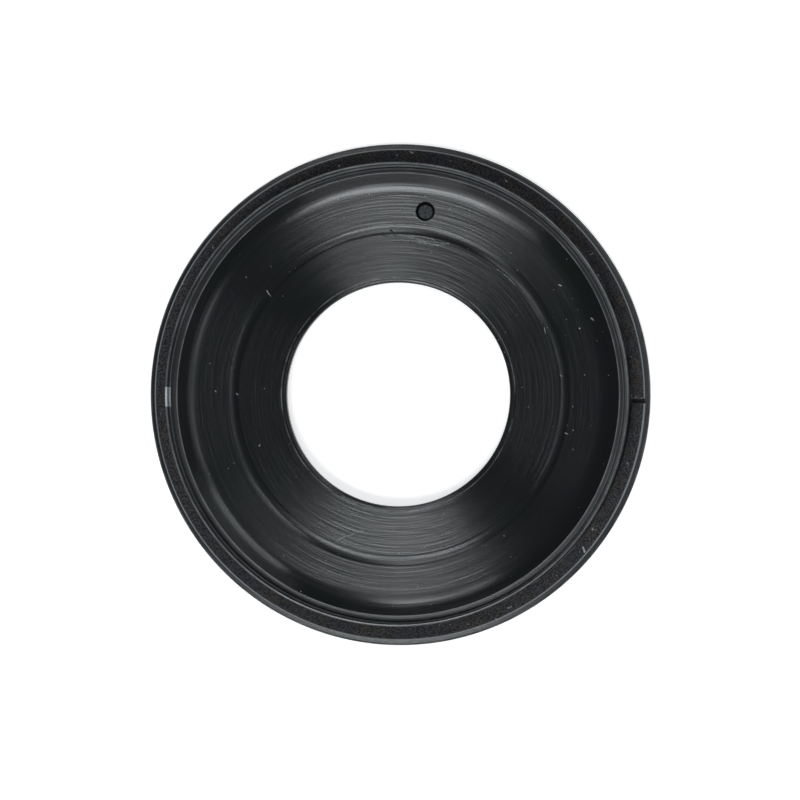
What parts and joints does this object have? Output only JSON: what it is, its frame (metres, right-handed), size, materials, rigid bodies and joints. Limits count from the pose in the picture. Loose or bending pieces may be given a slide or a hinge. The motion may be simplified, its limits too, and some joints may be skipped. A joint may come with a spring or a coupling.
{
  "type": "flanged gasket",
  "caption": "Round flanged rubber gasket: a shallow dish with a central bore, a floor groove and a thin upstanding lip, and a split ring seated on the flange.",
  "frame": {"origin": "on the bore's axis, at the plane of the flat foot under the flange", "axes": "+Z along the bore's axis, out of the dish; +Y towards the blind hole's side of the dish, 8.5 degrees short of the hole; +X towards the cut in the split ring, within 1.5 degrees"},
  "size_m": [0.09, 0.09, 0.0098],
  "materials": {
    "moulded_rubber": "black, satin, with concentric turned marks from the mould",
    "ring_rubber": "black, matt, with a little dust"
  },
  "bodies": {
    "root": {"gasket_body": "moulded_rubber", "split_ring": "ring_rubber"}
  },
  "joints": []
}
